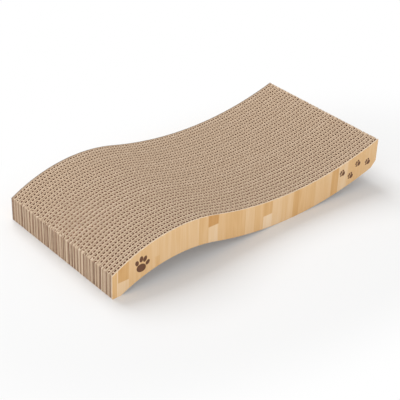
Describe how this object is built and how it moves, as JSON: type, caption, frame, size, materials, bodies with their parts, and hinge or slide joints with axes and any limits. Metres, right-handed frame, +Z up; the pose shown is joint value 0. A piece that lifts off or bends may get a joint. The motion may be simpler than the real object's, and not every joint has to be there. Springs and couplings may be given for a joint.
{
  "type": "cardboard cat scratcher",
  "caption": "Wave-shaped cat scratching pad: corrugated board strips glued on edge between two printed side boards, standing on a foot end and its belly.",
  "frame": {"origin": "on the floor, under the middle of the pad's length and width", "axes": "+X along the length, from the foot end to the raised end; +Y across the strips, from the front board to the back board; +Z up"},
  "size_m": [0.43, 0.2062, 0.0627],
  "materials": {
    "kraft_corrugated": "matte",
    "printed_board": "satin"
  },
  "bodies": {
    "root": {"front_facing": "printed_board", "strip_01": "kraft_corrugated", "strip_02": "kraft_corrugated", "strip_03": "kraft_corrugated", "strip_04": "kraft_corrugated", "strip_05": "kraft_corrugated", "strip_06": "kraft_corrugated", "strip_07": "kraft_corrugated", "strip_08": "kraft_corrugated", "strip_09": "kraft_corrugated", "strip_10": "kraft_corrugated", "strip_11": "kraft_corrugated", "strip_12": "kraft_corrugated", "strip_13": "kraft_corrugated", "strip_14": "kraft_corrugated", "strip_15": "kraft_corrugated", "strip_16": "kraft_corrugated", "strip_17": "kraft_corrugated", "strip_18": "kraft_corrugated", "strip_19": "kraft_corrugated", "strip_20": "kraft_corrugated", "strip_21": "kraft_corrugated", "strip_22": "kraft_corrugated", "strip_23": "kraft_corrugated", "strip_24": "kraft_corrugated", "strip_25": "kraft_corrugated", "strip_26": "kraft_corrugated", "strip_27": "kraft_corrugated", "strip_28": "kraft_corrugated", "strip_29": "kraft_corrugated", "strip_30": "kraft_corrugated", "strip_31": "kraft_corrugated", "strip_32": "kraft_corrugated", "strip_33": "kraft_corrugated", "back_facing": "printed_board"}
  },
  "joints": []
}
